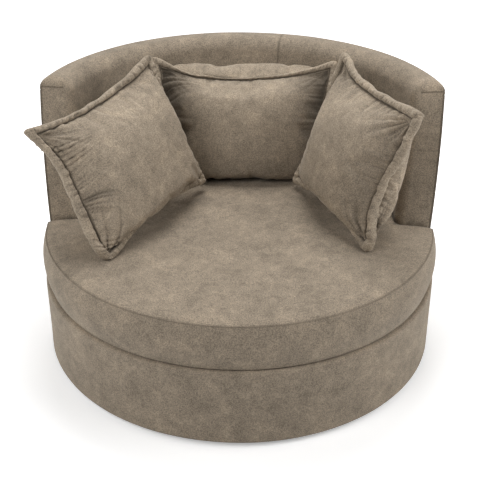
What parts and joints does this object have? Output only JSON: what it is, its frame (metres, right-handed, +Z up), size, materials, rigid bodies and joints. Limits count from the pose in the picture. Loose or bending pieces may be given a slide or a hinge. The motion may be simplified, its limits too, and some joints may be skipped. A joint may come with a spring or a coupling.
{
  "type": "round swivel armchair",
  "caption": "Oversized round swivel armchair: upholstered drum base, boxed seat cushion, wrap-round back that forms the arms, and loose flanged pillows.",
  "frame": {"origin": "on the swivel axis, on the floor under the chair", "axes": "+Z up along the swivel axis, -Y towards the front of the seat where the sitter's legs go, +X to the right as seen from the front"},
  "size_m": [1.2606, 1.2649, 0.8673],
  "materials": {
    "cover_fabric": "brushed mottled taupe chenille",
    "foam": "open-cell polyurethane foam",
    "fibre": "polyester fibre",
    "cambric": "black non-woven cambric",
    "plywood": "raw plywood",
    "hardboard": "raw hardboard",
    "steel": "zinc plated",
    "black_steel": "black powder coat",
    "nylon": "natural nylon"
  },
  "bodies": {
    "floor_base": {"floor_glides": "nylon", "base_ring": "black_steel", "base_rails": "black_steel", "base_crossbars": "black_steel", "lower_swivel_plate": "steel", "plate_screws": "steel", "swivel_rivet": "steel"},
    "ball_cage": {"bearing_cage": "nylon", "bearing_balls": "steel"},
    "chair": {"upper_swivel_plate": "steel", "swivel_bolts": "steel", "swivel_nuts": "steel", "bottom_board": "plywood", "drum_posts_set": "plywood", "deck_board": "plywood", "spring_rails": "plywood", "seat_springs": "steel", "spring_clips": "steel", "drum_band": "hardboard", "drum_foam": "foam", "drum_cover": "cover_fabric", "dust_cover": "cambric", "deck_pad": "fibre", "deck_cloth": "cambric", "seat_foam": "foam", "seat_wadding": "fibre", "seat_top_panel": "cover_fabric", "seat_boxing": "cover_fabric", "seat_bottom_panel": "cover_fabric", "back_bottom_rail": "plywood", "back_top_rail": "plywood", "arm_posts": "plywood", "back_posts": "plywood", "inner_back_board": "hardboard", "outer_back_board": "hardboard", "back_bolts": "steel", "inside_back_foam": "foam", "top_foam": "foam", "arm_end_pads": "foam", "inside_back_cover": "cover_fabric", "outside_back_cover": "cover_fabric"},
    "left_pillow": {"left_pillow_cover": "cover_fabric", "left_pillow_insert": "fibre"},
    "centre_pillow": {"centre_pillow_cover": "cover_fabric", "centre_pillow_insert": "fibre"},
    "right_pillow": {"right_pillow_cover": "cover_fabric", "right_pillow_insert": "fibre"}
  },
  "joints": [
    {"name": "swivel", "type": "hinge", "parent": "floor_base", "child": "chair", "pos_m": [0, 0, 0.0345], "axis": [0, 0, 1], "continuous": true},
    {"name": "ball_race", "type": "hinge", "parent": "floor_base", "child": "ball_cage", "pos_m": [0, 0, 0.0345], "axis": [0, 0, 1], "continuous": true},
    {"name": "left_pillow_lift", "type": "slide", "parent": "chair", "child": "left_pillow", "axis": [0, 0, 1], "range_m": [0, 0.5]},
    {"name": "centre_pillow_lift", "type": "slide", "parent": "chair", "child": "centre_pillow", "axis": [0, 0, 1], "range_m": [0, 0.5]},
    {"name": "right_pillow_lift", "type": "slide", "parent": "chair", "child": "right_pillow", "axis": [0, 0, 1], "range_m": [0, 0.5]}
  ],
  "couplings": [
    {"joint": "ball_race", "follows": "swivel", "ratio": 0.5}
  ]
}
